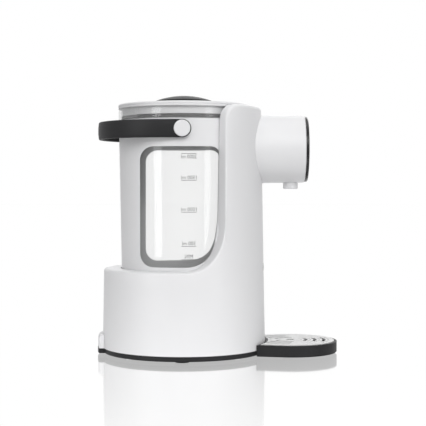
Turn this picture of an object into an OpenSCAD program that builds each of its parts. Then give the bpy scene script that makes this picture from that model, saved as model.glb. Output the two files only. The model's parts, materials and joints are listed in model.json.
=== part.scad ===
// Warm water dispenser for mixing baby formula.
// Millimetres. Origin on the floor at the axis of the round body, +X to the front (the spout), +Z up.

/* [Body] */
// Height of the tower above the floor
tower_height = 269; // [224:0.5:323]
// Outside radius of the round body at the floor
body_radius = 89.2; // [74:0.1:107]
// How far the body wall leans in for each mm of height
wall_lean = 0.0172; // [0.005:0.0001:0.03]
// Height of the ledge round the tank
ledge_height = 93.5; // [84:0.5:112]
// Thickness of the moulded outer walls
wall = 2.6; // [2.1:0.1:3.2]
// How far the wings' edges stand in front of the axis
wing_front = 47; // [39:0.5:56]
// How far the sweep between wing and ledge runs along the body
sweep_length = 44; // [36:0.5:53]
// How high the sweep climbs up the wing
sweep_height = 57; // [47:0.5:69]

/* [Edges] */
// Rounding of the ledge's outer edge
ledge_round = 2.8; // [2.3:0.1:3.4]
// Rounding of the wings' edges
wing_round = 2; // [1.6:0.1:2.4]
// Rounding of the tower's top edge
top_round = 4.2; // [3.5:0.1:5]
// Radius of the wings' top corners
wing_corner = 13; // [10:0.5:16]

/* [Tank] */
// Distance from the body's outer surface to the tank at the bottom of the dock
tank_inset = 20.3; // [19:0.1:24.4]
// How far the tank flares for each mm of height
tank_flare = 0.0187; // [0.01:0.0001:0.025]
// Room between the tank and the dock
dock_gap = 1.5; // [1.2:0.1:1.8]
// Height of the deck that the tank stands on
deck_height = 66; // [60:0.5:74]
// Wall of the white sleeve
sleeve_wall = 2.4; // [2:0.1:2.9]
// Wall of the clear vessel
vessel_wall = 2; // [1.6:0.1:2.4]

/* [Window] */
// Where the window ends behind the axis
window_back = 45; // [37:0.5:54]
// Radius of the window's rear corners
window_corner = 14; // [11:0.5:17]

/* [Lid] */
// Radius of the dark knob on the lid
knob_radius = 30.8; // [25:0.1:37]
// How high the knob stands above the lid
knob_rise = 7.4; // [6:0.1:9]

/* [Handle] */
// Height of the handle strap
strap_height = 19; // [16:0.5:23]
// Thickness of the handle strap
strap_thickness = 4.2; // [3.5:0.1:5]
// Radius of the pins that the handle turns on
pin_radius = 5; // [4.2:0.1:6]
// How far the handle can swing up, in degrees
handle_swing = 110; // [90:1:120]

/* [Head] */
// Radius of the drum-shaped head where it meets the tower
head_radius = 37.5; // [31:0.5:45]
// How far the spout stands in front of the body at the floor
spout_reach = 27.8; // [24:0.1:33]
// Outside radius of the spout
spout_radius = 8; // [6.7:0.1:9.6]

/* [Drip tray] */
// Radius of the round drip tray
tray_radius = 51; // [42.5:0.5:60]
// Height of the drip tray's rim
tray_height = 13.4; // [11.2:0.1:16]

/* [Hidden] */

$fn = 96;
white = [0.93, 0.93, 0.94];
dark = [0.21, 0.22, 0.23];
clear = [0.85, 0.92, 0.95];
steel = [0.72, 0.73, 0.75];
green = [0.12, 0.35, 0.22];
amber = [0.85, 0.85, 0.8];

// Levels
foot_h = 2;
plate_top = 7.4;
slack = 0.3;
fit = 0.05;
ledge_line = ledge_height - ledge_round;
top_line = tower_height - top_round;
// Depth of the rolled edge, and thickness of the dock's lining
flange = wall;
liner = 2;
seam = 0.2;
deck_thick = 2.4;

// Radii that depend on height
function body_r(z) = body_radius - wall_lean * z;
tank_foot_r = body_r(deck_height) - tank_inset;
function sleeve_r(z) = tank_foot_r + tank_flare * (z - deck_height);
function well_r(z) = sleeve_r(z) + dock_gap;

// Tank and lid levels
sleeve_foot = deck_height + slack;
sleeve_top = tower_height - 15.2;
vessel_rim = sleeve_top + 12.4;
vessel_foot = deck_height + 4.5;
vessel_floor = vessel_foot + 2.5;
rim_r = sleeve_r(sleeve_top) + 0.4;
rim_in = rim_r - 2.9;
lid_low = vessel_rim + slack;
lid_edge = lid_low + 5.2;
lid_top = lid_edge + 2.7;
pivot_z = sleeve_top - 11.1;

// Head levels
head_z = tower_height - head_radius - 8;
head_tip_r = head_radius - 0.9;
spout_x = body_radius + spout_reach;
head_front = spout_x + 14.9;
panel_front = head_front + 3.3;
spout_low = head_z - head_radius - 6;
hose_r = 3.5;
hose_bore = 2.2;
barb_bore = 1.4;
riser_x = (well_r(head_z - 10) + liner + body_r(head_z - 10) - wall) / 2;

// The boundary line of the housing, one half, as [angle, height, rounding]
n_rim = 15;
n_sweep = 12;
n_wing = 8;
n_corner = 6;
n_top = 9;
sweep_pow = 0.889;
rim_end = acos((wing_front - sweep_length) / body_r(ledge_line));
top_start = acos((wing_front + wing_corner) / body_r(top_line));
function ang_at(x, z) = acos(x / body_r(z));
function ease(t) = t * t * (3 - 2 * t);
function lerp(a, b, t) = a + (b - a) * t;
function sweep_pt(f) =
  let (x = wing_front - sweep_length + sweep_length * pow(sin(f), sweep_pow))
  let (z = ledge_line + sweep_height * (1 - pow(cos(f), sweep_pow)))
  [ang_at(x, z), z];
wing_low = ledge_line + sweep_height;
wing_high = top_line - wing_corner;
function corner_pt(f) =
  let (x = wing_front + wing_corner * (1 - cos(f)))
  let (z = wing_high + wing_corner * sin(f))
  [ang_at(x, z), z];
half_line = concat(
  [for (i = [0 : n_rim - 1]) [lerp(180, rim_end, i / n_rim), ledge_line, ledge_round]],
  [for (i = [0 : n_sweep - 1]) let (p = sweep_pt(90 * i / n_sweep))
    [p[0], p[1], lerp(ledge_round, wing_round, ease(i / n_sweep))]],
  [for (i = [0 : n_wing - 1]) let (z = lerp(wing_low, wing_high, i / n_wing))
    [ang_at(wing_front, z), z, wing_round]],
  [for (i = [0 : n_corner - 1]) let (p = corner_pt(90 * i / n_corner))
    [p[0], p[1], lerp(wing_round, top_round, ease(i / n_corner))]],
  [for (i = [0 : n_top]) [lerp(top_start, 0, i / n_top), top_line, top_round]]);
// Angles at which the same lines reach the foot of the body and the deck
foot_a = 96;
foot_b = 72;
foot_c = 41;
foot_d = 35;
half_foot = concat(
  [for (i = [0 : n_rim - 1]) lerp(180, foot_a, i / n_rim)],
  [for (i = [0 : n_sweep - 1]) lerp(foot_a, foot_b, i / n_sweep)],
  [for (i = [0 : n_wing - 1]) lerp(foot_b, foot_c, i / n_wing)],
  [for (i = [0 : n_corner - 1]) lerp(foot_c, foot_d, i / n_corner)],
  [for (i = [0 : n_top]) lerp(foot_d, 0, i / n_top)]);
half_n = len(half_line);
loop_n = 2 * (half_n - 1);
function mirror_i(i) = i < half_n ? i : loop_n - i;
function side(i) = i < half_n ? 1 : -1;
function line_pt(i) = let (p = half_line[mirror_i(i)]) [side(i) * p[0], p[1], p[2]];
function foot_ang(i) = side(i) * half_foot[mirror_i(i)];
// Direction across the line, away from the wall, as [along the arc, up]
function arc(a, b, r) = r * (b > a + 180 ? b - a - 360 : (b < a - 180 ? b - a + 360 : b - a)) * PI / 180;
function across(i) =
  let (p = line_pt((i + loop_n - 1) % loop_n))
  let (q = line_pt((i + 1) % loop_n))
  let (da = arc(p[0], q[0], body_r(line_pt(i)[1])))
  let (dz = q[1] - p[1])
  let (l = sqrt(da * da + dz * dz))
  [dz / l, -da / l];
// A point off the line: off across it, then down towards a foot line by share t
function place(a, z, depth) =
  let (r = body_r(z) - depth)
  [r * cos(a), r * sin(a), z];
function off_a(i, off) =
  let (p = line_pt(i))
  p[0] + across(i)[0] * off / body_r(p[1]) * 180 / PI;
function off_z(i, off) = line_pt(i)[1] + across(i)[1] * off;
function down(i, off, t, foot_z, depth) =
  let (z = lerp(off_z(i, off), foot_z, t))
  place(lerp(off_a(i, off), foot_ang(i), t), z, depth);
function down_well(i, off, t, foot_z, back) =
  let (z = lerp(off_z(i, off), foot_z, t))
  place(lerp(off_a(i, off), foot_ang(i), t), z, body_r(z) - well_r(z) - back);
n_out = 9;
n_round = 4;
n_in = 6;
// The outer wall, its rounded edge and the flange that the dock's lining meets
function wall_section(i) =
  let (r = line_pt(i)[2])
  let (lip = r - flange)
  concat(
    [for (k = [0 : n_out - 1]) down(i, 0, 1 - k / n_out, plate_top, 0)],
    [for (k = [0 : n_round]) let (f = 90 * k / n_round)
      place(off_a(i, r * sin(f)), off_z(i, r * sin(f)), r * (1 - cos(f)))],
    [down_well(i, r, 0, deck_height, 0), down_well(i, lip, 0, deck_height, 0)],
    [for (k = [0 : n_in]) down(i, lip, k / n_in, plate_top, wall)]);
// The lining, from just under the flange to the deck
function well_section(i) =
  let (top = line_pt(i)[2] - flange - seam)
  concat(
    [for (k = [0 : n_in]) down_well(i, top, k / n_in, deck_height, 0)],
    [for (k = [0 : n_in]) down_well(i, top, 1 - k / n_in, deck_height, liner)]);
// Skin over closed sections of n points each
function at(i, k, n) = (i % loop_n) * n + (k % n);
function skin(n) = [for (i = [0 : loop_n - 1]) for (k = [0 : n - 1]) for (h = [0, 1])
  h == 0 ? [at(i, k, n), at(i + 1, k, n), at(i + 1, k + 1, n)]
  : [at(i, k, n), at(i + 1, k + 1, n), at(i, k + 1, n)]];

// Small helpers
module along_x() {
  rotate([90, 0, 90]) children();
}
module along_y() {
  rotate([-90, 0, 0]) children();
}
module ring(r, ri, h) {
  difference() {
    cylinder(r = r, h = h);
    translate([0, 0, -1]) cylinder(r = ri, h = h + 2);
  }
}
// The body's outer cone, grown by g, from z1 to z2
module body_cone(z1, z2, g) {
  translate([0, 0, z1]) cylinder(r1 = body_r(z1) + g, r2 = body_r(z2) + g, h = z2 - z1, $fn = 180);
}
function arc_pts(cx, cy, r, a1, a2, n) =
  [for (i = [0 : n]) let (a = lerp(a1, a2, i / n)) [cx + r * cos(a), cy + r * sin(a)]];
// A pill, long along the first axis
function pill_pts(l, w) = concat(
  arc_pts((l - w) / 2, 0, w / 2, -90, 90, 16),
  arc_pts(-(l - w) / 2, 0, w / 2, 90, 270, 16));
// A curved slot about the origin, centred on angle a, with round ends
function slot_pts(r, w, half_len, a) =
  let (s = (half_len - w / 2) / r * 180 / PI)
  concat(
    arc_pts(0, 0, r + w / 2, a - s, a + s, 12),
    arc_pts(r * cos(a + s), r * sin(a + s), w / 2, a + s, a + s + 180, 8),
    arc_pts(0, 0, r - w / 2, a + s, a - s, 12),
    arc_pts(r * cos(a - s), r * sin(a - s), w / 2, a - s + 180, a - s + 360, 8));
// The tray's outline, moved in by g
tray_back = 38;
tray_waist = tray_radius - 8;
tray_turn = 180 - acos((tray_radius - tray_waist) / tray_back);
function tray_pts(g) = concat(
  arc_pts(0, 0, tray_radius - g, -tray_turn, tray_turn, 72),
  arc_pts(-tray_back, 0, tray_waist - g, tray_turn, 360 - tray_turn, 40));
module quarter_bend(bend, r, ri) {
  // Starts at the origin going up, and turns towards +X
  translate([bend, 0, 0]) rotate([90, 0, 0]) rotate([0, 0, 90]) rotate_extrude(angle = 90)
    translate([bend, 0]) difference() {
      circle(r = r, $fn = 48);
      circle(r = ri, $fn = 48);
    }
}
module straight(l, r, ri) {
  difference() {
    cylinder(r = r, h = l, $fn = 48);
    translate([0, 0, -1]) cylinder(r = ri, h = l + 2, $fn = 48);
  }
}

// ---- Body ----
lens_z = ledge_height + 1.4;
boss_half = 24;
boss_top = 22.3;
boss_out = body_radius + 4.8;
cord_z = 14.8;
gland_bore = 3.6;
gland_r = 5.9;
gland_flange = 8;
post_x = body_radius * 0.65;
post_y = body_radius * 0.45;

module main_housing() {
  color(white) difference() {
    polyhedron(
      points = [for (i = [0 : loop_n - 1]) each wall_section(i)],
      faces = skin(len(wall_section(0))),
      convexity = 8);
    translate([riser_x + hose_r - 5, 0, head_z]) along_x() cylinder(r = 20, h = 20);
    translate([body_r(lens_z) - 10, 0, lens_z]) along_x() linear_extrude(14) polygon(pill_pts(28, 9));
    translate([-body_radius - 2, 0, cord_z]) along_x() cylinder(r = gland_r + 0.1, h = 12);
  }
}

module dock_well() {
  color(white) polyhedron(
    points = [for (i = [0 : loop_n - 1]) each well_section(i)],
    faces = skin(len(well_section(0))),
    convexity = 8);
}

module sensor_lens() {
  color(dark) intersection() {
    translate([body_r(lens_z) - 10, 0, lens_z]) along_x() linear_extrude(14) polygon(pill_pts(27.6, 8.6));
    difference() {
      body_cone(lens_z - 10, lens_z + 10, -0.1);
      body_cone(lens_z - 11, lens_z + 11, -2.3);
    }
  }
}

module rear_boss() {
  color(white) difference() {
    intersection() {
      union() {
        translate([0, 0, plate_top]) cylinder(r = boss_out, h = boss_top - plate_top - 3, $fn = 180);
        translate([0, 0, boss_top - 3])
          cylinder(r1 = boss_out, r2 = boss_out - 1, h = 2, $fn = 180);
        translate([0, 0, boss_top - 1])
          cylinder(r1 = boss_out - 1, r2 = boss_out - 3, h = 1, $fn = 180);
      }
      translate([-boss_out - 10, -boss_half, 0]) cube([body_radius, 2 * boss_half, 60]);
    }
    body_cone(plate_top - 1, boss_top + 1, 0.15);
    translate([-boss_out - 5, 0, cord_z]) along_x() cylinder(r = gland_r + 0.1, h = 20);
  }
}

module cord_gland() {
  color(dark) translate([-boss_out + 0.6, 0, cord_z]) along_x() difference() {
    union() {
      cylinder(r1 = gland_r - 0.7, r2 = gland_r, h = 0.8);
      translate([0, 0, 0.8]) cylinder(r = gland_r, h = 8.6);
      translate([0, 0, 9.4]) cylinder(r = gland_flange, h = 2.4);
    }
    translate([0, 0, -1]) cylinder(r = gland_bore, h = 22);
  }
}

module dock_deck() {
  r_in = 20;
  color(white) difference() {
    union() {
      translate([0, 0, deck_height - deck_thick])
        cylinder(r = well_r(deck_height) + liner - 0.1, h = deck_thick, $fn = 180);
      for (sx = [-1, 1]) for (sy = [-1, 1]) translate([sx * post_x, sy * post_y, plate_top])
        cylinder(r = 4, h = deck_height - deck_thick - plate_top + 1);
      translate([0, 0, deck_height - deck_thick - 6]) cylinder(r = r_in + 4, h = 7);
    }
    translate([0, 0, deck_height - 4.2]) cylinder(r = r_in, h = 30);
    translate([0, 0, deck_height - 20]) cylinder(r = r_in - 2.5, h = 30);
    for (sx = [-1, 1]) for (sy = [-1, 1]) translate([sx * post_x, sy * post_y, plate_top - 1])
      cylinder(r = 1.4, h = 22, $fn = 32);
    for (a = [45 : 90 : 315]) rotate([0, 0, a]) translate([tank_foot_r - 14, 0, deck_height - 10])
      cylinder(r = 3, h = 20);
  }
}

module base_plate() {
  r = body_r(plate_top) - 0.1;
  boss_r = boss_out + 0.5;
  color(dark) difference() {
    union() {
      translate([0, 0, foot_h]) cylinder(r1 = r - 1.2, r2 = r, h = 1.2, $fn = 180);
      translate([0, 0, foot_h + 1.2]) cylinder(r = r, h = plate_top - foot_h - 1.2, $fn = 180);
      translate([0, 0, plate_top - 1]) cylinder(r = r - wall - 0.5, h = 4, $fn = 180);
      intersection() {
        translate([0, 0, foot_h + 0.4]) cylinder(r = boss_r, h = plate_top - foot_h - 0.4, $fn = 180);
        translate([-boss_r - 10, -boss_half - 0.5, 0]) cube([body_radius, 2 * boss_half + 1, 60]);
      }
    }
    difference() {
      translate([0, 0, foot_h + 2.6]) cylinder(r = r - wall - 2.7, h = 20, $fn = 180);
      for (sx = [-1, 1]) for (sy = [-1, 1]) translate([sx * post_x, sy * post_y, 0])
        cylinder(r = 6, h = plate_top);
      translate([board_x, board_y, 0]) for (sx = [-1, 1]) for (sy = [-1, 1])
        translate([sx * 23, sy * 15, 0]) cylinder(r = 2.6, h = board_z);
      translate([pump_x - 26, -9, 0]) cube([22, 18, pump_z - pump_r + 1.2]);
      for (sy = [-1, 1]) translate([heater_x - 6, sy * 26 - 3, 0]) cube([12, 6, heater_z - heater_r + 0.8]);
    }
    translate([-boss_out, 0, cord_z]) along_x() cylinder(r = gland_flange + 0.5, h = 20);
    translate([pump_x - 40, 0, pump_z]) along_x() cylinder(r = motor_r + 0.1, h = 50);
    translate([heater_x, -60, heater_z]) along_y() cylinder(r = heater_r + 0.1, h = 120);
    for (sx = [-1, 1]) for (sy = [-1, 1]) translate([sx * post_x, sy * post_y, 0]) {
      translate([0, 0, foot_h - 1]) cylinder(r = 1.8, h = 12, $fn = 32);
      translate([0, 0, foot_h - 1]) cylinder(r = 3.6, h = 3.4, $fn = 48);
    }
    for (p = foot_spots) translate([p[0], p[1], foot_h - 1]) cylinder(r = 8.2, h = 2);
    for (i = [-3 : 3]) translate([i * 7, 34, 0]) linear_extrude(20) rotate(90) polygon(pill_pts(16, 3));
    for (i = [-3 : 3]) translate([i * 7, -34, 0]) linear_extrude(20) rotate(90) polygon(pill_pts(16, 3));
  }
}

foot_ring = body_radius * 0.83;
foot_spots = concat([[0, 0]], [for (a = [0, 90, 180, 270]) [foot_ring * cos(a), foot_ring * sin(a)]]);
module rubber_feet() {
  color(dark) for (p = foot_spots) translate([p[0], p[1], 0]) {
    cylinder(r1 = 7.4, r2 = 8, h = 0.6);
    translate([0, 0, 0.6]) cylinder(r = 8, h = foot_h + 1 - 0.6);
  }
}

module plate_screws() {
  color(steel) for (sx = [-1, 1]) for (sy = [-1, 1])
    translate([sx * post_x, sy * post_y, foot_h]) difference() {
      union() {
        cylinder(r = 3.2, h = 2.3, $fn = 48);
        translate([0, 0, 2]) cylinder(r = 1.35, h = 12, $fn = 32);
      }
      translate([0, 0, -1]) cylinder(r = 1.6, h = 2, $fn = 6);
    }
}

// ---- Water path in the base ----
coupler_r = 19.6;
cup_in = 13.4;
coupler_low = deck_height - 22;
pump_x = -27;
pump_z = 26;
pump_r = 15;
motor_r = 12;
heater_x = post_x - 30;
heater_z = 30;
heater_r = 9;
heater_half = 40;
cap_y = heater_half + 6;
board_x = 33 - post_x;
board_y = -34;
board_z = 12.4;

module water_coupler() {
  color(white) difference() {
    union() {
      translate([0, 0, coupler_low + 6]) cylinder(r = cup_in + 2.4, h = 12);
      translate([0, 0, deck_height - 4]) cylinder(r = coupler_r, h = 3.7);
      translate([0, 0, deck_height - 5]) cylinder(r = cup_in + 2.4, h = 3);
      translate([0, 0, coupler_low + 3.5]) cylinder(r = 7, h = 3, $fn = 48);
      translate([0, 0, coupler_low]) cylinder(r = hose_bore - fit, h = 5, $fn = 48);
    }
    difference() {
      translate([0, 0, coupler_low + 9]) cylinder(r = cup_in, h = 30);
      translate([0, 0, coupler_low + 8]) cylinder(r = 2.6, h = probe_top - coupler_low - 8, $fn = 48);
    }
    translate([0, 0, deck_height - 2.3]) cylinder(r = cup_in + 3.4, h = 3);
    translate([0, 0, coupler_low - 1]) cylinder(r = barb_bore, h = 7, $fn = 48);
    for (a = [0 : 120 : 240]) rotate([0, 0, a]) translate([4.2, 0, coupler_low + 6])
      cylinder(r = 1.2, h = 8, $fn = 32);
    translate([0, 0, coupler_low + 5]) cylinder(r = 5.6, h = 1.6, $fn = 48);
  }
}
probe_top = deck_height - 5;

module coupler_seal() {
  color(dark) translate([0, 0, deck_height - 2.2]) rotate_extrude() polygon([
    [valve_tube + slack, 0.3], [valve_tube + 1, 0], [cup_in + 3.3, 0],
    [cup_in + 3.3, 2], [valve_tube + 2, 2], [valve_tube + slack + 0.1, 1.2]]);
}

module pump_body() {
  color(dark) difference() {
    union() {
      translate([pump_x - 7, 0, pump_z]) along_x() cylinder(r = pump_r, h = 12);
      translate([pump_x + 5, 0, pump_z]) along_x() cylinder(r = pump_r - 3, h = 2);
      translate([pump_x + 6, 0, pump_z]) along_x() cylinder(r = hose_bore - fit, h = 7, $fn = 48);
      translate([pump_x, pump_r - 5, heater_z]) along_y() cylinder(r = hose_bore - fit, h = 12, $fn = 48);
    }
    translate([pump_x + 2, 0, pump_z]) along_x() cylinder(r = barb_bore, h = 20, $fn = 48);
    translate([pump_x, pump_r - 6, heater_z]) along_y() cylinder(r = barb_bore, h = 20, $fn = 48);
    translate([pump_x - 4, 0, pump_z]) along_x() cylinder(r = pump_r - 4, h = 6.5);
  }
}

module pump_motor() {
  color(steel) translate([pump_x - 36, 0, pump_z]) along_x() {
    cylinder(r = motor_r, h = 28.9);
    translate([0, 0, -2]) cylinder(r = 4, h = 3);
  }
}

module heater_tube() {
  color(steel) translate([heater_x, -heater_half, heater_z]) along_y() difference() {
    cylinder(r = heater_r, h = 2 * heater_half);
    translate([0, 0, -1]) cylinder(r = heater_r - 1.2, h = 2 * heater_half + 2);
  }
}

module heater_caps() {
  color(dark) difference() {
    union() {
      for (s = [-1, 1]) translate([heater_x, s * (heater_half + 5.1), heater_z]) along_y()
        translate([0, 0, -5]) cylinder(r = heater_r + 1.6, h = 10);
      translate([heater_x - heater_r - 9, cap_y, heater_z]) along_x()
        cylinder(r = hose_bore - fit, h = 12, $fn = 48);
      translate([heater_x, -cap_y, heater_z + 4])
        cylinder(r = hose_bore - fit, h = heater_r + hose_grip - 1.3, $fn = 48);
    }
    translate([heater_x - heater_r - 10, cap_y, heater_z]) along_x()
      cylinder(r = barb_bore, h = 16, $fn = 48);
    translate([heater_x, -cap_y, heater_z]) cylinder(r = barb_bore, h = 30, $fn = 48);
    for (s = [-1, 1]) translate([heater_x, s * (heater_half + 3), heater_z]) along_y()
      translate([0, 0, -3]) cylinder(r = heater_r - 2.4, h = 6);
  }
}

module power_board() {
  translate([board_x, board_y, board_z]) {
    color(green) translate([-27, -19, 0]) cube([54, 38, 1.6]);
    color(dark) translate([-22, -10, 1.6]) cube([18, 20, 14]);
    color(amber) translate([2, -12, 1.6]) cube([14, 12, 9]);
    color(steel) translate([12, 8, 1.6]) cylinder(r = 5, h = 12, $fn = 48);
  }
}

module suction_hose() {
  bend = 8;
  color(clear) union() {
    translate([0, 0, pump_z + bend]) straight(coupler_low + 3.3 - pump_z - bend, hose_r, hose_bore);
    translate([0, 0, pump_z + bend]) rotate([180, 0, 180]) quarter_bend(bend, hose_r, hose_bore);
    translate([-bend, 0, pump_z]) rotate([0, -90, 0]) straight(-pump_x - bend - 8, hose_r, hose_bore);
  }
}

module feed_hose() {
  bend = 10;
  y0 = pump_r + 1;
  color(clear) translate([0, 0, heater_z]) union() {
    translate([pump_x, y0, 0]) along_y() straight(cap_y - bend - y0, hose_r, hose_bore);
    translate([pump_x, cap_y - bend, 0]) rotate([-90, 0, 0]) quarter_bend(bend, hose_r, hose_bore);
    translate([pump_x + bend, cap_y, 0]) along_x()
      straight(heater_x - heater_r - pump_x - bend - 2.2, hose_r, hose_bore);
  }
}

riser_bend = 10;
hose_grip = 6;
riser_low = heater_z + heater_r + 3 + hose_grip + 2 * riser_bend;
module outlet_hose() {
  run = sqrt(pow(riser_x - heater_x, 2) + cap_y * cap_y);
  turn = atan2(cap_y, riser_x - heater_x);
  z0 = heater_z + heater_r + 3;
  level = hose_grip + riser_bend;
  color(clear) translate([heater_x, -cap_y, z0]) rotate([0, 0, turn]) union() {
    straight(hose_grip, hose_r, hose_bore);
    translate([0, 0, hose_grip]) quarter_bend(riser_bend, hose_r, hose_bore);
    translate([riser_bend, 0, level]) along_x() straight(run - 2 * riser_bend, hose_r, hose_bore);
    translate([run, 0, level + riser_bend]) {
      rotate([0, 180, 0]) quarter_bend(riser_bend, hose_r, hose_bore);
      straight(8, hose_r, hose_bore);
    }
  }
}

// Rigid pipe up the front of the tower, pushed into the hose
module riser_pipe() {
  z2 = head_z - 10 - riser_bend;
  color(steel) translate([riser_x, 0, 0]) union() {
    translate([0, 0, riser_low + 1]) straight(z2 - riser_low - 1, hose_bore - fit, 1.5);
    translate([0, 0, z2]) quarter_bend(riser_bend, hose_bore - fit, 1.5);
    translate([riser_bend, 0, z2 + riser_bend]) along_x()
      straight(spout_x - 10 - riser_x - riser_bend, hose_bore - fit, 1.5);
  }
}

// ---- Head ----
module head_shell() {
  x0 = body_radius * 0.7;
  l = head_front - x0;
  bevel = 0.8;
  color(white) difference() {
    translate([x0, 0, head_z]) along_x() difference() {
      union() {
        cylinder(r1 = head_radius, r2 = head_tip_r, h = l - bevel, $fn = 144);
        translate([0, 0, l - bevel]) cylinder(r1 = head_tip_r, r2 = head_tip_r - bevel, h = bevel, $fn = 144);
      }
      translate([0, 0, -1])
        cylinder(r1 = head_radius - wall, r2 = head_tip_r - wall, h = l - wall, $fn = 144);
      translate([0, 0, l - 4]) cylinder(r = head_tip_r - wall - 1, h = 6, $fn = 144);
    }
    body_cone(head_z - head_radius - 20, tower_height + 20, 0.1);
    translate([spout_x, 0, head_z - head_radius - 5]) cylinder(r = spout_radius + 0.1, h = 20);
  }
}

module control_panel() {
  r = head_tip_r - 0.8;
  color(dark) translate([head_front + 0.1, 0, head_z]) along_x() difference() {
    union() {
      cylinder(r = r, h = 2.2, $fn = 144);
      translate([0, 0, 2.2]) cylinder(r1 = r, r2 = r - 1, h = 1, $fn = 144);
      translate([0, 0, -4]) ring(r - wall - 0.4, r - wall - 2.4, 5);
    }
    translate([0, 0, 2.9]) ring(r - 8, r - 9, 2);
    for (a = [0 : 60 : 300]) rotate([0, 0, a]) translate([r - 16, 0, 2.8])
      cylinder(r = 3.2, h = 2, $fn = 48);
  }
}

module display_board() {
  translate([head_front - 7, 0, head_z]) along_x() {
    color(green) cylinder(r = head_tip_r - 9, h = 1.6);
    color(dark) translate([-13, -5, 1.5]) cube([26, 10, 4]);
  }
}

module outlet_elbow() {
  z = head_z - 10;
  color(white) difference() {
    union() {
      translate([spout_x - 15, 0, z]) along_x() cylinder(r = 4, h = 14, $fn = 48);
      translate([spout_x, 0, spout_low + 9]) cylinder(r = 5, h = z + 5 - spout_low - 9, $fn = 48);
    }
    translate([spout_x - 16, 0, z]) along_x() cylinder(r = hose_bore, h = 16, $fn = 48);
    translate([spout_x, 0, spout_low + 8]) cylinder(r = 3.4, h = z + 1 - spout_low - 8, $fn = 48);
  }
}

module nozzle() {
  color(white) difference() {
    union() {
      translate([spout_x, 0, spout_low]) cylinder(r1 = spout_radius - 0.8, r2 = spout_radius, h = 0.8);
      translate([spout_x, 0, spout_low + 0.8]) cylinder(r = spout_radius, h = 12);
      translate([spout_x, 0, spout_low + 11.3]) cylinder(r = spout_radius + 2, h = 2);
    }
    translate([spout_x, 0, spout_low - 1]) cylinder(r = 4.2, h = 20);
    translate([spout_x, 0, spout_low + 9]) cylinder(r = 5.05, h = 20);
    translate([spout_x, 0, spout_low - 1]) cylinder(r1 = 6.6, r2 = 4.2, h = 3);
  }
}

// ---- Tank ----
valve_tube = 12;
seat_z = deck_height + 1;
cage_top = vessel_foot + 14;
window_low = ledge_height + 4;
window_high = sleeve_top - 29.4;
window_front = wing_front - 8;

function window_pts() = concat(
  arc_pts(-window_back + window_corner, window_high - window_corner, window_corner, 180, 90, 10),
  arc_pts(window_front - 9, window_high - 9, 9, 90, 0, 8),
  [for (i = [0 : 12]) let (f = 90 - 90 * i / 12)
    [window_front - 36 + 36 * pow(sin(f), sweep_pow), window_low + 50 * (1 - pow(cos(f), sweep_pow))]],
  arc_pts(-window_back + window_corner, window_low + window_corner, window_corner, 270, 180, 10));

module tank_sleeve() {
  color(white) difference() {
    rotate_extrude($fn = 180) polygon([
      [sleeve_r(sleeve_foot) - sleeve_wall, sleeve_foot],
      [sleeve_r(sleeve_foot) - 1, sleeve_foot],
      [sleeve_r(sleeve_foot + 1), sleeve_foot + 1],
      [sleeve_r(sleeve_top - 0.6), sleeve_top - 0.6],
      [sleeve_r(sleeve_top) - 0.6, sleeve_top],
      [sleeve_r(sleeve_top) - sleeve_wall, sleeve_top]]);
    translate([0, 2 * tank_foot_r, 0]) rotate([90, 0, 0])
      linear_extrude(4 * tank_foot_r) polygon(window_pts());
    for (s = [-1, 1]) translate([0, s * (sleeve_r(pivot_z) - 10), pivot_z]) rotate([-90 * s, 0, 0])
      cylinder(r = 3.05, h = 20, $fn = 48);
  }
}

module tank_vessel() {
  g = sleeve_wall + 0.3;
  function out_r(z) = sleeve_r(z) - g;
  low_r = out_r(vessel_foot);
  bend = 5;
  color(clear) rotate_extrude($fn = 180) polygon(concat(
    [[valve_tube + 0.1, vessel_foot]],
    arc_pts(low_r - bend, vessel_foot + bend, bend, -90, 0, 8),
    [[out_r(sleeve_top + 0.1), sleeve_top + 0.1], [rim_r - 0.5, sleeve_top + 0.1],
     [rim_r, sleeve_top + 0.6], [rim_r, vessel_rim - 1], [rim_r - 1, vessel_rim],
     [rim_in + 0.5, vessel_rim], [rim_in, vessel_rim - 0.5], [rim_in, sleeve_top + 1.5],
     [out_r(sleeve_top) - vessel_wall, sleeve_top - 1.5]],
    arc_pts(low_r - bend, vessel_foot + bend, bend - vessel_wall, 0, -90, 8),
    [[valve_tube + 0.1, vessel_foot + vessel_wall]]));
}

module valve_seat() {
  color(white) difference() {
    rotate_extrude() polygon([
      [valve_tube - 2, deck_height - 9], [valve_tube, deck_height - 9],
      [valve_tube, vessel_foot - 2.2], [valve_tube + 5, vessel_foot - 2.2],
      [valve_tube + 5, vessel_foot - 0.1], [valve_tube, vessel_foot - 0.1],
      [valve_tube, cage_top], [2.8, cage_top], [2.8, cage_top - 1.8],
      [valve_tube - 2, cage_top - 1.8], [valve_tube - 2, seat_z + 2], [6, seat_z + 2],
      [5, seat_z + 1], [5, seat_z], [valve_tube - 2, seat_z]]);
    for (a = [0 : 90 : 270]) rotate([0, 0, a]) translate([2, 0, vessel_floor + 4.6]) along_x()
      cylinder(r = 3, h = 20, $fn = 48);
  }
}

// The plunger is shown lifted off its seat by the probe, as it is with the tank docked.
valve_lift = 3;
head_low = seat_z + 2 + valve_lift;
module valve_plunger() {
  color(steel) {
    translate([0, 0, probe_top + slack]) cylinder(r = 2.2, h = head_low - probe_top + 1.5, $fn = 48);
    translate([0, 0, head_low + 1.4]) cylinder(r = 7.4, h = 1.4);
    translate([0, 0, head_low + 2]) cylinder(r = 2.4, h = cage_top + 1.5 - head_low - 2, $fn = 48);
  }
}

module valve_seal() {
  color(dark) translate([0, 0, head_low + 0.1]) ring(7.6, 2.3, 1.25);
}

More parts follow.
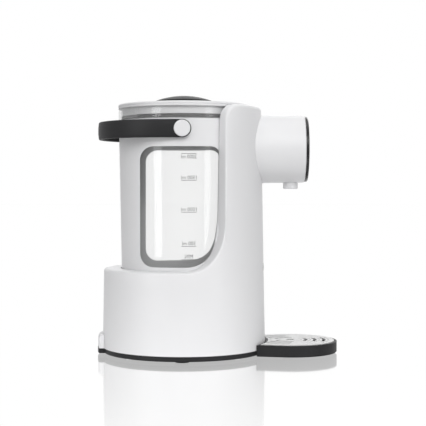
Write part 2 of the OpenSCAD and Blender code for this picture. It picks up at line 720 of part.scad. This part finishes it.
spring_turns = 4.5;
spring_steps = 18;
spring_low = head_low + 3.1;
spring_high = cage_top - 2.1;
spring_wire = 0.5;
spring_n = floor(spring_turns * spring_steps);
function spring_ring(i) =
  let (a = 360 * i / spring_steps)
  let (z = lerp(spring_low + spring_wire, spring_high - spring_wire, i / spring_n))
  [for (k = [0 : 5]) let (r = 5.2 + spring_wire * cos(60 * k))
    [r * cos(a), r * sin(a), z + spring_wire * sin(60 * k)]];
module valve_spring() {
  pts = [for (i = [0 : spring_n]) each spring_ring(i)];
  sides = [for (i = [0 : spring_n - 1]) for (k = [0 : 5]) for (h = [0, 1])
    let (a = 6 * i + k)
    let (b = 6 * i + (k + 1) % 6)
    h == 0 ? [a, b + 6, b] : [a, a + 6, b + 6]];
  color(steel) polyhedron(
    points = pts,
    faces = concat(sides, [[0, 1, 2, 3, 4, 5]], [[for (k = [0 : 5]) 6 * spring_n + 5 - k]]),
    convexity = 8);
}

// ---- Handle ----
arm_in = sleeve_r(pivot_z) + 1.9;
arm_out = arm_in + strap_thickness;
hub_r = strap_height / 2;
bail_centre = -16.6;
function strap_pts(x0, x1, h) =
  let (r = 1.4)
  let (c = 0.5)
  concat(
    arc_pts(x0 + r, -h / 2 + r, r, 180, 270, 4),
    arc_pts(x1 - c - r, -h / 2 + r, r, 270, 345, 4),
    [[x1, -h / 6], [x1, h / 6]],
    arc_pts(x1 - c - r, h / 2 - r, r, 15, 90, 4),
    arc_pts(x0 + r, h / 2 - r, r, 90, 180, 4));

module handle_bail() {
  color(dark) difference() {
    union() {
      translate([bail_centre, 0, pivot_z]) rotate([0, 0, 90]) rotate_extrude(angle = 180, $fn = 180)
        polygon(strap_pts(arm_in, arm_out, strap_height));
      for (s = [0, 1]) mirror([0, s, 0]) {
        translate([0, 0, pivot_z]) rotate([90, 0, -90]) linear_extrude(-bail_centre)
          polygon([for (p = strap_pts(arm_in, arm_out, strap_height)) [-p[0], p[1]]]);
        translate([0, arm_in, pivot_z]) along_y() rotate_extrude() polygon(concat(
          [[0, 0]], [[hub_r - 1.2, 0], [hub_r, 1.2]],
          [[hub_r, strap_thickness - 1.7], [hub_r - 1.2, strap_thickness - 0.5]],
          [[hub_r * 0.6, strap_thickness], [0, strap_thickness]]));
      }
    }
    translate([0, -arm_out - 5, pivot_z]) along_y() cylinder(r = pin_radius + fit, h = 2 * arm_out + 10);
    for (s = [0, 1]) mirror([0, s, 0]) translate([0, arm_in, pivot_z])
      rotate([0, 180 - handle_swing - lug_room, 0]) rotate([-90, 0, 0]) translate([0, 0, -1])
        rotate_extrude(angle = handle_swing + 2 * lug_room) translate([lug_ring - 1, 0]) square([2, 2.3]);
  }
}
lug_ring = (pin_radius + hub_r) / 2;
lug_room = asin(0.95 / lug_ring);

module pivot_pins() {
  near = pivot_z - 20;
  far = pivot_z + 20;
  color(steel) for (s = [0, 1]) mirror([0, s, 0]) {
    translate([0, sleeve_r(pivot_z) - sleeve_wall - 0.1, pivot_z]) along_y()
      cylinder(r = 3, h = 6, $fn = 48);
    difference() {
      translate([0, sleeve_r(pivot_z) - 2, pivot_z]) along_y() {
        cylinder(r = hub_r - 1, h = 3.5);
        cylinder(r = pin_radius, h = arm_out - sleeve_r(pivot_z) + 2.3);
        translate([-lug_ring, 0, 0]) cylinder(r = 0.6, h = 4.9, $fn = 32);
      }
      translate([0, 0, near])
        cylinder(r1 = sleeve_r(near) + fit, r2 = sleeve_r(far) + fit, h = far - near, $fn = 180);
    }
  }
}

module pivot_caps() {
  color(white) for (s = [0, 1]) mirror([0, s, 0]) translate([0, arm_out + 0.35, pivot_z]) along_y() {
    cylinder(r = hub_r - 0.9, h = 0.8);
    translate([0, 0, 0.8]) cylinder(r1 = hub_r - 0.9, r2 = hub_r - 1.7, h = 0.8);
  }
}

// ---- Lid ----
plug_r = rim_in - 1.4;
plug_low = sleeve_top + 0.2;
seal_z = sleeve_top + 1.1;
module lid_cover() {
  color(white) rotate_extrude($fn = 180) polygon([
    [3, lid_low], [rim_r - 0.6, lid_low], [rim_r, lid_low + 0.6],
    [rim_r, lid_low + 2.2], [rim_r - 0.5, lid_low + 2.5], [rim_r, lid_low + 2.8],
    [rim_r, lid_edge - 1], [rim_r - 1.2, lid_edge], [knob_radius + 1, lid_top], [knob_radius - 8, lid_top],
    [knob_radius - 8, lid_top - 2], [3, lid_top - 2]]);
}
module lid_plug() {
  color(white) rotate_extrude($fn = 180) polygon([
    [plug_r - 2.4, plug_low], [plug_r - 0.6, plug_low], [plug_r, plug_low + 0.6], [plug_r, seal_z],
    [plug_r - 1, seal_z], [plug_r - 1, seal_z + 3.9], [plug_r, seal_z + 3.9], [plug_r, lid_low - 0.05],
    [3, lid_low - 0.05], [3, lid_low - 2.4], [plug_r - 2.4, lid_low - 2.4]]);
}
module lid_seal() {
  color(dark) rotate_extrude($fn = 180) polygon([
    [plug_r - 0.9, seal_z + 0.1], [plug_r + 0.6, seal_z + 0.1], [rim_in - 0.35, seal_z + 0.9],
    [plug_r + 0.6, seal_z + 1.7], [plug_r + 0.6, seal_z + 2.3], [rim_in - 0.35, seal_z + 3.1],
    [plug_r + 0.6, seal_z + 3.8], [plug_r - 0.9, seal_z + 3.8]]);
}
module lid_knob() {
  dome = knob_rise - 1.9;
  big = (knob_radius * knob_radius + dome * dome) / (2 * dome);
  span = asin(knob_radius / big);
  color(dark) rotate_extrude($fn = 144) polygon(concat(
    [[2.6, lid_top - 1.9], [knob_radius - 8.2, lid_top - 1.9], [knob_radius - 8.2, lid_top + 0.5],
     [knob_radius - 0.5, lid_top + 0.5], [knob_radius, lid_top + 1]],
    [for (i = [0 : 14]) let (a = span * (1 - i / 14))
      [max(big * sin(a), 0), lid_top + knob_rise - big + big * cos(a)]],
    [[0, lid_top + 2], [2.6, lid_top + 2]]));
}
module lid_screw() {
  color(steel) translate([0, 0, lid_low - 4.6]) {
    cylinder(r = 5, h = 2, $fn = 48);
    cylinder(r = 2.5, h = lid_top + 1.9 - lid_low + 4.6, $fn = 48);
  }
}

// ---- Drip tray ----
tray_low = 1.2;
tray_gap = 0.5;
tray_rim = 2.5;
module tray_outline(g, low, high) {
  translate([spout_x, 0, low]) linear_extrude(high - low) polygon(tray_pts(g));
}
module tray_body_cut(g) {
  translate([0, 0, -1]) cylinder(r = body_radius + tray_gap + g, h = tray_height + 20, $fn = 180);
}
module drip_tray() {
  color(dark) difference() {
    union() {
      tray_outline(1, tray_low, tray_low + 1);
      tray_outline(0, tray_low + 1, tray_height);
    }
    tray_body_cut(0);
    difference() {
      tray_outline(tray_rim, tray_low + 2.4, tray_height + 5);
      tray_body_cut(tray_rim);
    }
    for (p = tray_pads) translate([spout_x + p[0], p[1], tray_low - 1])
      cylinder(r = pad_r + 0.2, h = 1.6, $fn = 48);
  }
}
pad_r = 4;
tray_pads = [[tray_radius - 12, 0], [-6, tray_radius - 14], [-6, 14 - tray_radius]];
module tray_feet() {
  color(dark) for (p = tray_pads) translate([spout_x + p[0], p[1], 0])
    cylinder(r = pad_r, h = tray_low + 0.5, $fn = 48);
}
leg_ring = tray_radius * 0.66;
grid_legs = [[7 - spout_reach, 0], [leg_ring / 2, leg_ring * 0.866], [leg_ring / 2, -leg_ring * 0.866]];
module drip_grid() {
  top = tray_height + 0.7;
  thick = 2.2;
  color(white) difference() {
    union() {
      difference() {
        tray_outline(tray_rim + 0.4, top - thick, top);
        tray_body_cut(tray_rim + 0.4);
      }
      for (p = grid_legs) translate([spout_x + p[0], p[1], tray_low + 2.7])
        cylinder(r = 2.4, h = top - thick - tray_low - 2.2, $fn = 48);
      translate([spout_x, 0, tray_low + 2.7]) ring(8, 6, top - thick - tray_low - 2.2);
    }
    translate([spout_x, 0, 0]) {
      cylinder(r = 4.6, h = 40);
      for (a = [0, 120, 240]) for (k = [0, 1, 2]) translate([0, 0, top - 5]) linear_extrude(10)
        polygon(slot_pts(17.4 + 9.9 * k, 3.6, 12 + 2.5 * k, a));
      for (k = [0 : 3]) translate([0, 0, top - 0.5]) ring(12.6 + 9.9 * k, 11.8 + 9.9 * k, 2);
    }
  }
}

main_housing();
dock_well();
dock_deck();
base_plate();
rubber_feet();
plate_screws();
rear_boss();
cord_gland();
sensor_lens();
water_coupler();
coupler_seal();
pump_body();
pump_motor();
heater_tube();
heater_caps();
power_board();
suction_hose();
feed_hose();
outlet_hose();
riser_pipe();
head_shell();
control_panel();
display_board();
outlet_elbow();
nozzle();
tank_vessel();
tank_sleeve();
valve_seat();
valve_spring();
pivot_pins();
pivot_caps();
valve_plunger();
valve_seal();
handle_bail();
lid_cover();
lid_plug();
lid_seal();
lid_knob();
lid_screw();
drip_tray();
tray_feet();
drip_grid();
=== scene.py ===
"""Looks of the warm water dispenser for baby formula. Metres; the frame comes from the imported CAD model."""

import json
import math

import bmesh
import bpy
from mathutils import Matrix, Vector


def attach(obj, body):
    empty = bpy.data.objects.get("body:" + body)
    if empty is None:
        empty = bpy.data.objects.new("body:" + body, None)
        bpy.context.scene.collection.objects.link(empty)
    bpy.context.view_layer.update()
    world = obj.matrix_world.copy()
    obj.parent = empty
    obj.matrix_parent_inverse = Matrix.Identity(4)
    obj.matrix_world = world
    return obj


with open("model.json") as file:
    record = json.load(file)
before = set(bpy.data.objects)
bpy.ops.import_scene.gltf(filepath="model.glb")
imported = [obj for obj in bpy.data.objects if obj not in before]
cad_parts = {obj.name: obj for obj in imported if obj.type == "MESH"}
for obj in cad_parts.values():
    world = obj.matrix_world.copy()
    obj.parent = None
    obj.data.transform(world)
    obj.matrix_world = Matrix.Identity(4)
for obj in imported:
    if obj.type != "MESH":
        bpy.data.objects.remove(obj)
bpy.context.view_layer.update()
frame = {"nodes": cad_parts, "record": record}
NODES = frame["nodes"]
MM = 0.001


# ---------------------------------------------------------------- shader maths
class Sock:
    """A node's output that does maths with plain Python operators."""

    def __init__(self, owner, out):
        self.owner = owner
        self.out = out

    def _math(self, operation, first, second):
        return self.owner.node("ShaderNodeMath", {"operation": operation}, {0: first, 1: second})

    def __add__(self, other):
        return self._math("ADD", self, other)

    def __radd__(self, other):
        return self._math("ADD", other, self)

    def __sub__(self, other):
        return self._math("SUBTRACT", self, other)

    def __rsub__(self, other):
        return self._math("SUBTRACT", other, self)

    def __mul__(self, other):
        return self._math("MULTIPLY", self, other)

    def __rmul__(self, other):
        return self._math("MULTIPLY", other, self)

    def ramp(self, low, high):
        """0 below low, 1 above high, smooth between."""
        return self.owner.node("ShaderNodeMapRange", {"interpolation_type": "SMOOTHSTEP"},
                               {"Value": self, "From Min": low, "From Max": high})


class Nodes:
    """A node tree that is filled by calls."""

    def __init__(self, tree):
        self.tree = tree

    def node(self, kind, settings, values, out=0):
        """Adds a node with its settings, then a value or a link for each input, and returns one output."""
        added = self.tree.nodes.new(kind)
        for key, value in settings.items():
            setattr(added, key, value)
        for key, value in values.items():
            self.put(added.inputs[key], value)
        return Sock(self, added.outputs[out])

    def put(self, socket, value):
        if isinstance(value, Sock):
            self.tree.links.new(value.out, socket)
        else:
            socket.default_value = value


class Finish(Nodes):
    """One material, built node by node."""

    def __init__(self, name):
        self.material = bpy.data.materials.new(name)
        self.material.use_nodes = True
        super().__init__(self.material.node_tree)
        self.shader = self.tree.nodes["Principled BSDF"]
        self.output = self.tree.nodes["Material Output"]

    def set(self, **values):
        """Sets the main shader's inputs, with _ for each space in their names."""
        for key, value in values.items():
            self.put(self.shader.inputs[key.replace("_", " ")], value)

    def place(self):
        return self.node("ShaderNodeTexCoord", {}, {}, "Object")

    def noise(self, size, detail=2.0, rough=0.5):
        """Cloudy noise from 0 to 1 whose lumps are about size metres across."""
        return self.node("ShaderNodeTexNoise", {}, {
            "Vector": self.place(), "Scale": 1.0 / size, "Detail": detail, "Roughness": rough})

    def blend(self, share, first, second):
        """From the first colour at share 0 to the second at 1."""
        colours = {0: share, 6: first, 7: second}
        return self.node("ShaderNodeMix", {"data_type": "RGBA"}, colours, 2)

    def bump(self, height, depth):
        """Height from 0 to 1 raised by depth metres."""
        return self.node("ShaderNodeBump", {}, {"Strength": 1.0, "Distance": depth, "Height": height})


def grey(level, blue=0.0):
    """A grey, a share bluer if asked."""
    return (level, level, level * (1 + blue), 1.0)


def moulded(name, colour, shade, rough, grain_size, grain_depth, shine=0.5):
    """Moulded plastic: a fine spark-etched grain, and a faint change of colour and gloss over the piece."""
    f = Finish(name)
    cloud = f.noise(45 * MM, 3.0)
    grain = f.noise(grain_size, 4.0, 0.65)
    f.set(Base_Color=f.blend(cloud, colour, shade),
          Roughness=rough - 0.04 + cloud * 0.05 + grain * 0.03,
          Normal=f.bump(grain, grain_depth),
          Specular_IOR_Level=shine)
    return f.material


def rubber(name, level):
    f = Finish(name)
    dust = f.noise(2.5 * MM, 5.0, 0.7)
    f.set(Base_Color=f.blend(dust.ramp(0.55, 0.8), grey(level), grey(level * 1.7)),
          Roughness=0.62 + dust * 0.12, Normal=f.bump(f.noise(0.35 * MM, 3.0), 0.02 * MM))
    return f.material


def brushed(name, level):
    """Drawn steel: fine streaks along the piece's height."""
    f = Finish(name)
    stretched = f.node("ShaderNodeMapping", {}, {"Vector": f.place(), "Scale": (1.0, 1.0, 0.03)})
    streak = f.node("ShaderNodeTexNoise", {}, {"Vector": stretched, "Scale": 2600.0, "Detail": 3.0})
    f.set(Base_Color=f.blend(streak, grey(level), grey(level * 0.82)), Metallic=1.0,
          Roughness=0.24 + streak * 0.14, Normal=f.bump(streak, 0.008 * MM))
    return f.material


def clear_wall(name):
    """Clear moulded wall: see-through from the front, mirroring more at a slant, with faint flow waves."""
    f = Finish(name)
    slant = f.node("ShaderNodeLayerWeight", {}, {"Blend": 0.25}, "Fresnel")
    f.set(Base_Color=(0.7, 0.71, 0.71, 1.0), Metallic=0.15, Roughness=0.02,
          Alpha=0.07 + slant * 0.3, Normal=f.bump(f.noise(28 * MM, 1.0), 0.01 * MM))
    return f.material


def milky(name):
    f = Finish(name)
    cloud = f.noise(6 * MM, 2.0)
    f.set(Base_Color=f.blend(cloud, (0.82, 0.84, 0.84, 1), (0.7, 0.73, 0.74, 1)),
          Roughness=0.35 + cloud * 0.1, Subsurface_Weight=0.2, Subsurface_Scale=0.004)
    return f.material


def circuit(name):
    """Green solder mask with a faint pattern of traces."""
    f = Finish(name)
    cells = f.node("ShaderNodeTexVoronoi", {"feature": "DISTANCE_TO_EDGE"}, {
        "Vector": f.place(), "Scale": 320.0})
    trace = 1 - cells.ramp(0.04, 0.1)
    f.set(Base_Color=f.blend(trace, (0.015, 0.1, 0.045, 1), (0.03, 0.2, 0.09, 1)),
          Roughness=0.32 + trace * 0.1)
    return f.material


WHITE = moulded("white_shell", grey(0.80, 0.012), grey(0.77, 0.015), 0.5, 0.5 * MM, 0.006 * MM)
CHARCOAL = moulded("charcoal_shell", grey(0.022, 0.06), grey(0.018, 0.06), 0.5, 0.45 * MM, 0.03 * MM, 0.12)
PANEL_BLACK = moulded("panel_gloss", grey(0.011, 0.1), grey(0.008, 0.1), 0.25, 1.5 * MM, 0.002 * MM, 0.25)
GRID_GREY = moulded("grid_shell", grey(0.62), grey(0.58), 0.42, 0.5 * MM, 0.02 * MM)
SEAL = rubber("seal_rubber", 0.03)
FOOT = rubber("foot_rubber", 0.026)
STEEL = brushed("drawn_steel", 0.62)
CLEAR = clear_wall("clear_tank_wall")
HOSE = milky("milky_hose")
BOARD = circuit("board_mask")
PRINT = moulded("mark_ink", grey(0.06), grey(0.05), 0.5, 0.3 * MM, 0.003 * MM)
LIGHT_PRINT = moulded("panel_ink", grey(0.62), grey(0.6), 0.4, 0.3 * MM, 0.002 * MM)

BY_SLOT = {"white_body": WHITE, "dark_plastic": CHARCOAL, "dark_gloss": PANEL_BLACK, "grid_white": GRID_GREY,
           "clear_tank": CLEAR, "seal_rubber": SEAL, "foot_rubber": FOOT, "milky_hose": HOSE,
           "steel": STEEL, "board_green": BOARD}


# ---------------------------------------------------------------- CAD nodes
def dress_node(name, finish):
    """Gives a CAD node its finish, smooth curved faces and crisp edges."""
    piece = NODES[name]
    piece.data.materials.clear()
    piece.data.materials.append(finish)
    piece.data.polygons.foreach_set("use_smooth", [True] * len(piece.data.polygons))
    weld = piece.modifiers.new("weld", "WELD")
    weld.merge_threshold = 0.004 * MM
    split = piece.modifiers.new("crisp_edges", "EDGE_SPLIT")
    split.split_angle = math.radians(32)


for entry in frame["record"]["subparts"]:
    dress_node(entry["node"], BY_SLOT[entry["material_slot"]])


# ---------------------------------------------------------------- repeated shapes
def repeat_tree(name, shape, sizes):
    """A tree that puts one shape on every point of the piece it is on.

    shape is the type of the mesh node and its fixed values; sizes maps each input of the tree
    to the socket of that node that it drives, or to X, Y or Z of its Size."""
    tree = bpy.data.node_groups.new(name, "GeometryNodeTree")
    face = tree.interface
    face.new_socket("Points", in_out="INPUT", socket_type="NodeSocketGeometry")
    face.new_socket("Shapes", in_out="OUTPUT", socket_type="NodeSocketGeometry")
    for label in sizes:
        face.new_socket(label, in_out="INPUT", socket_type="NodeSocketFloat")
    face.new_socket("Finish", in_out="INPUT", socket_type="NodeSocketMaterial")
    t = Nodes(tree)
    given = tree.nodes.new("NodeGroupInput").outputs
    kind, fixed = shape
    made = t.node(kind, {}, fixed)
    inputs = made.out.node.inputs
    asked = {socket: Sock(t, given[label]) for label, socket in sizes.items()}
    if "Size" in inputs:
        t.put(inputs["Size"], t.node("ShaderNodeCombineXYZ", {}, asked))
    else:
        for socket, value in asked.items():
            t.put(inputs[socket], value)
    points = Sock(t, given["Points"])
    placed = t.node("GeometryNodeInstanceOnPoints", {}, {"Points": points, "Instance": made})
    real = t.node("GeometryNodeRealizeInstances", {}, {"Geometry": placed})
    painted = t.node("GeometryNodeSetMaterial", {}, {"Geometry": real, "Material": Sock(t, given["Finish"])})
    out = tree.nodes.new("NodeGroupOutput")
    t.put(out.inputs["Shapes"], painted)
    return tree


def repeat(name, tree, points, values):
    """Runs a repeat tree on points and gives back its plain mesh."""
    mesh = bpy.data.meshes.new(name)
    mesh.from_pydata(points, [], [])
    holder = bpy.data.objects.new(name, mesh)
    bpy.context.scene.collection.objects.link(holder)
    modifier = holder.modifiers.new(name, "NODES")
    modifier.node_group = tree
    for item in tree.interface.items_tree:
        if item.in_out == "INPUT" and item.name in values:
            modifier[item.identifier] = values[item.name]
    graph = bpy.context.evaluated_depsgraph_get()
    made = bpy.data.meshes.new_from_object(holder.evaluated_get(graph))
    bpy.data.objects.remove(holder)
    return made


def written(words, width, height):
    """Flat lettering as a mesh, centred on its foot, scaled to a width and height."""
    curve = bpy.data.curves.new("lettering", "FONT")
    curve.body = words
    curve.size = 1.0
    curve.extrude = 0.5
    curve.resolution_u = 3
    holder = bpy.data.objects.new("lettering", curve)
    bpy.context.scene.collection.objects.link(holder)
    graph = bpy.context.evaluated_depsgraph_get()
    mesh = bpy.data.meshes.new_from_object(holder.evaluated_get(graph))
    bpy.data.objects.remove(holder)
    xs = [v.co.x for v in mesh.vertices]
    ys = [v.co.y for v in mesh.vertices]
    left, right, foot, top = min(xs), max(xs), min(ys), max(ys)
    for v in mesh.vertices:
        v.co = ((v.co.x - (left + right) / 2) * width / (right - left),
                (v.co.y - foot) * height / (top - foot), v.co.z)
    return mesh


def join_mesh(name, parts, place, finish):
    """One piece from several meshes; place maps each part's index and point to its place."""
    bm = bmesh.new()
    for i, mesh in enumerate(parts):
        before = len(bm.verts)
        bm.from_mesh(mesh)
        bm.verts.ensure_lookup_table()
        for v in bm.verts[before:]:
            v.co = place(i, v.co)
    bmesh.ops.remove_doubles(bm, verts=bm.verts, dist=0.002 * MM)
    mesh = bpy.data.meshes.new(name)
    bm.to_mesh(mesh)
    bm.free()
    mesh.materials.clear()
    mesh.materials.append(finish)
    piece = bpy.data.objects.new(name, mesh)
    bpy.context.scene.collection.objects.link(piece)
    return piece


# ---------------------------------------------------------------- volume marks on the tank's far side
# Each mark's words, the height of its line in millimetres, and whether the words stand above it
MARKS = (("MIN", 98.1, True), ("500 ml", 113.4, True), ("1000 ml", 152.9, True),
         ("1500 ml", 189.8, True), ("2000 ml", 221.0, False))
MARK_CENTRE = 4.0
MARK_LINE = 17.5
LETTER_HEIGHT, LETTER_WIDTH, MIN_WIDTH = 4.6, 2.6, 9.3
WORDS_ABOVE, WORDS_BELOW = 1.2, -5.8
INK, INK_LIFT = 0.05, 0.02


def vessel_radius(z):
    """Outside radius of the clear vessel at a height, in millimetres: the sleeve's, less its wall and gap."""
    deck, foot_radius, flare, wall_and_gap = 66.0, 67.77, 0.0187, 2.7
    return foot_radius + flare * (z - deck) - wall_and_gap


def add_marks():
    """Printed lines with their volumes on the tank's far side, to be read from that side."""
    box = ("GeometryNodeMeshCube", {"Vertices X": 13, "Vertices Y": 2, "Vertices Z": 2})
    bar = repeat_tree("mark_lines", box, {"Length": "X", "Thickness": "Y", "Depth": "Z"})
    lines = repeat("mark_lines", bar, [(0, z, 0) for _, z, _ in MARKS],
                   {"Length": MARK_LINE, "Thickness": 0.55, "Depth": 1.0, "Finish": PRINT})
    words = [written(text, MIN_WIDTH if text == "MIN" else LETTER_WIDTH * len(text), LETTER_HEIGHT)
             for text, _, _ in MARKS]

    def place(i, co):
        z = co.y
        if i:
            _, level, above = MARKS[i - 1]
            z += level + (WORDS_ABOVE if above else WORDS_BELOW)
        r = vessel_radius(z) + INK_LIFT + INK * (co.z + 0.5)
        a = math.pi / 2 + (co.x - MARK_CENTRE) / r
        return Vector((r * math.cos(a), r * math.sin(a), z)) * MM

    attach(join_mesh("volume_marks", [lines] + words, place, PRINT), "tank")


add_marks()


# ---------------------------------------------------------------- light dots and number on the control panel
PANEL_FACE = 135.2
PANEL_HEIGHT = 223.5
SPOTS, SPOT_RING, SPOT_DEPTH, SPOT_DOT = 6, 19.8, 0.4, 1.3
SCALE_DOTS, SCALE_RING, SCALE_DOT = 48, 31.6, 0.42
NUMBER_WIDTH, NUMBER_HEIGHT = 11.0, 8.0
PANEL_LIFT = 0.01


def ring_points(radius, count):
    """Points evenly round a circle."""
    turn = 2 * math.pi / count
    return [(radius * math.cos(i * turn), radius * math.sin(i * turn), 0.0) for i in range(count)]


def add_panel_marks():
    """A scale of dots round the panel, a dot in each touch spot and the set temperature in the middle."""
    dot = repeat_tree("panel_dots", ("GeometryNodeMeshCylinder", {"Vertices": 20}),
                      {"Radius": "Radius", "Depth": "Depth"})
    scale = repeat("scale_dots", dot, ring_points(SCALE_RING, SCALE_DOTS),
                   {"Radius": SCALE_DOT, "Depth": INK, "Finish": LIGHT_PRINT})
    spots = repeat("spot_dots", dot, ring_points(SPOT_RING, SPOTS),
                   {"Radius": SPOT_DOT, "Depth": INK, "Finish": LIGHT_PRINT})
    number = written("45", NUMBER_WIDTH, NUMBER_HEIGHT)
    for v in number.vertices:
        v.co = (v.co.x, v.co.y - NUMBER_HEIGHT / 2, v.co.z * INK)

    def place(i, co):
        sunk = SPOT_DEPTH if i == 1 else 0.0
        out = PANEL_FACE - sunk + PANEL_LIFT + INK / 2 + co.z
        return Vector((out, co.x, PANEL_HEIGHT + co.y)) * MM

    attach(join_mesh("panel_marks", [scale, spots, number], place, LIGHT_PRINT), "base")


add_panel_marks()


# ---------------------------------------------------------------- camera, floor and light
BODY_AXIS_OFFSET = 0.0319
CAMERA_BACK = 1.265
CAMERA_HEIGHT = 0.17875
LENS, LOOKS_DOWN = 97.18, 1.146
camera_data = bpy.data.cameras.new("camera")
camera_data.lens = LENS
camera_data.sensor_width = 36
camera_data.clip_end = 50
camera = bpy.data.objects.new("camera", camera_data)
camera.location = (BODY_AXIS_OFFSET, -CAMERA_BACK, CAMERA_HEIGHT)
camera.rotation_euler = (math.radians(90 - LOOKS_DOWN), 0, 0)
bpy.context.scene.collection.objects.link(camera)
bpy.context.scene.camera = camera
bpy.context.scene.view_settings.view_transform = "Standard"


def add_floor():
    """A white floor that mirrors the object, less and less towards its edge, and doesn't show from below."""
    mesh = bpy.data.meshes.new("floor")
    r, low = 14.0, -0.1 * MM
    mesh.from_pydata([(-r, -r, low), (r, -r, low), (r, r, low), (-r, r, low)], [], [(0, 1, 2, 3)])
    floor = bpy.data.objects.new("floor", mesh)
    bpy.context.scene.collection.objects.link(floor)
    f = Finish("pale_floor")
    away = f.node("ShaderNodeVectorMath", {"operation": "LENGTH"}, {0: f.place()}, "Value")
    seen = f.node("ShaderNodeEmission", {}, {"Color": grey(1.0), "Strength": 1.0})
    bounced = f.node("ShaderNodeEmission", {}, {"Color": grey(1.0), "Strength": 0.28})
    diffuse = f.node("ShaderNodeLightPath", {}, {}, "Is Diffuse Ray")
    glow = f.node("ShaderNodeMixShader", {}, {0: diffuse, 1: seen, 2: bounced})
    shine = f.node("ShaderNodeBsdfGlossy", {}, {"Color": grey(1.0), "Roughness": 0.06})
    share = 0.55 - away.ramp(0.07, 0.62) * 0.5
    top = f.node("ShaderNodeMixShader", {}, {0: share, 1: glow, 2: shine})
    below = f.node("ShaderNodeNewGeometry", {}, {}, "Backfacing")
    clear = f.node("ShaderNodeBsdfTransparent", {}, {})
    f.put(f.output.inputs["Surface"], f.node("ShaderNodeMixShader", {}, {0: below, 1: top, 2: clear}))
    floor.data.materials.append(f.material)


def add_lamp(name, place, aim, width, height, power, lights=True):
    """A softbox; one that lights nothing is a card that only shows in glossy surfaces."""
    data = bpy.data.lights.new(name, "AREA")
    data.shape = "RECTANGLE"
    data.size, data.size_y, data.energy = width, height, power
    lamp = bpy.data.objects.new(name, data)
    lamp.location = place
    lamp.rotation_euler = (Vector(aim) - Vector(place)).to_track_quat("-Z", "Y").to_euler()
    lamp.visible_diffuse = lights
    bpy.context.scene.collection.objects.link(lamp)


def light_world(ambient):
    """White where it is seen, mirrored or looked at through the tank; dimmer where it lights."""
    world = bpy.data.worlds.new("studio")
    world.use_nodes = True
    bpy.context.scene.world = world
    w = Nodes(world.node_tree)
    surface = world.node_tree.nodes["World Output"].inputs["Surface"]
    dim = w.node("ShaderNodeBackground", {}, {"Color": grey(1.0), "Strength": ambient})
    seen = w.node("ShaderNodeBackground", {}, {"Color": grey(1.0), "Strength": 1.0})
    diffuse = w.node("ShaderNodeLightPath", {}, {}, "Is Diffuse Ray")
    w.put(surface, w.node("ShaderNodeMixShader", {}, {0: diffuse, 1: seen, 2: dim}))


def around(turn, distance, height):
    """A place at this turn, in degrees, from straight in front of the camera's side."""
    a = math.radians(turn - 90)
    return distance * math.cos(a), distance * math.sin(a), height


add_floor()
light_world(0.37)
MIDDLE = (0.0, 0.0, 0.15)
add_lamp("left_strip", around(-47, 1.1, 0.45), MIDDLE, 0.32, 1.6, 11, False)
add_lamp("right_strip", around(45, 1.1, 0.45), MIDDLE, 0.25, 1.6, 6, False)
add_lamp("left_softbox", around(-40, 2.0, 0.9), MIDDLE, 0.8, 0.8, 3)
add_lamp("front_softbox", around(14, 1.6, 1.15), MIDDLE, 1.2, 0.8, 17)
add_lamp("top_softbox", (0.0, 0.0, 1.7), MIDDLE, 1.0, 1.0, 5)
add_lamp("back_fill", (0.3, 1.4, 0.9), MIDDLE, 1.4, 1.0, 6)
